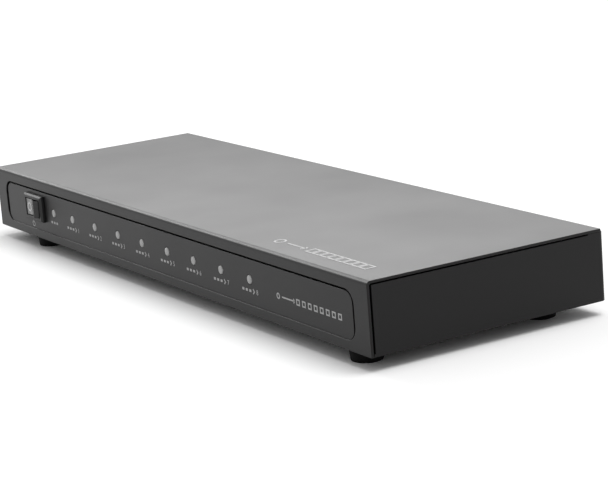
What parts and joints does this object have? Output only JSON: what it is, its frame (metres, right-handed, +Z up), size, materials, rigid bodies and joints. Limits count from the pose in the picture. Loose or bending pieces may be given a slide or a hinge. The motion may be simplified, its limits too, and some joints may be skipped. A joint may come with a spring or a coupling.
{
  "type": "hdmi splitter",
  "caption": "Flat steel-cased HDMI splitter: rocker power switch and indicator lamps behind a bezel window, HDMI and power sockets along the rear, on rubber feet.",
  "frame": {"origin": "on the floor, under the middle of the casing", "axes": "+X to the right along the front, +Y from the front to the rear, +Z up; the bezel faces -Y"},
  "size_m": [0.29, 0.099, 0.0299],
  "materials": {
    "casing_paint": "satin anthracite paint",
    "screw_black": "black oxide",
    "screw_steel": "zinc plated",
    "foot_rubber": "matte black rubber",
    "board_green": "solder mask",
    "standoff_brass": "bare",
    "switch_black": "satin black",
    "plunger_nylon": "natural nylon",
    "spring_steel": "bright",
    "contact_brass": "bare",
    "terminal_tin": "tinned",
    "lead_red": "insulation",
    "header_nylon": "natural nylon",
    "lamp_milky": "milky diffused resin",
    "holder_black": "moulded",
    "shell_steel": "nickel plated",
    "insert_black": "moulded",
    "jack_black": "moulded",
    "jack_pin": "nickel plated",
    "chip_black": "moulded",
    "sink_aluminium": "extruded",
    "ferrite_grey": "ferrite",
    "capacitor_can": "sleeved can",
    "crystal_can": "pressed can"
  },
  "bodies": {
    "casing": {"chassis_tray": "casing_paint", "top_cover": "casing_paint", "front_fascia": "casing_paint", "cover_front_screws": "screw_black", "cover_rear_screws": "screw_steel", "board_screws": "screw_steel", "foot_front_left": "foot_rubber", "foot_front_right": "foot_rubber", "foot_rear_left": "foot_rubber", "foot_rear_right": "foot_rubber", "main_board": "board_green", "board_standoffs": "standoff_brass", "switch_housing": "switch_black", "switch_terminals": "terminal_tin", "switch_leads": "lead_red", "switch_header": "header_nylon", "power_led": "lamp_milky", "output_led_1": "lamp_milky", "output_led_2": "lamp_milky", "output_led_3": "lamp_milky", "output_led_4": "lamp_milky", "output_led_5": "lamp_milky", "output_led_6": "lamp_milky", "output_led_7": "lamp_milky", "output_led_8": "lamp_milky", "led_holders": "holder_black", "hdmi_in_shell": "shell_steel", "hdmi_out_1_shell": "shell_steel", "hdmi_out_2_shell": "shell_steel", "hdmi_out_3_shell": "shell_steel", "hdmi_out_4_shell": "shell_steel", "hdmi_out_5_shell": "shell_steel", "hdmi_out_6_shell": "shell_steel", "hdmi_out_7_shell": "shell_steel", "hdmi_out_8_shell": "shell_steel", "hdmi_in_insert": "insert_black", "hdmi_out_1_insert": "insert_black", "hdmi_out_2_insert": "insert_black", "hdmi_out_3_insert": "insert_black", "hdmi_out_4_insert": "insert_black", "hdmi_out_5_insert": "insert_black", "hdmi_out_6_insert": "insert_black", "hdmi_out_7_insert": "insert_black", "hdmi_out_8_insert": "insert_black", "dc_jack_body": "jack_black", "dc_jack_pin": "jack_pin", "splitter_chips": "chip_black", "controller_chip": "chip_black", "regulator_chip": "chip_black", "heat_sinks": "sink_aluminium", "power_inductor": "ferrite_grey", "electrolytic_capacitors": "capacitor_can", "clock_crystal": "crystal_can"},
    "rocker": {"switch_rocker": "switch_black", "switch_plunger": "plunger_nylon", "switch_spring": "spring_steel"},
    "contact_arm": {"switch_contact_arm": "contact_brass"}
  },
  "joints": [
    {"name": "rocker_hinge", "type": "hinge", "parent": "casing", "child": "rocker", "pos_m": [-0.1071, -0.047, 0.0177], "axis": [0, 0, 1], "range_deg": [0, 22]},
    {"name": "contact_arm_hinge", "type": "hinge", "parent": "casing", "child": "contact_arm", "pos_m": [-0.1071, -0.0386, 0.0177], "axis": [0, 0, 1], "range_deg": [-12, 0]}
  ],
  "couplings": [
    {"joint": "contact_arm_hinge", "follows": "rocker_hinge", "ratio": -0.5454}
  ]
}
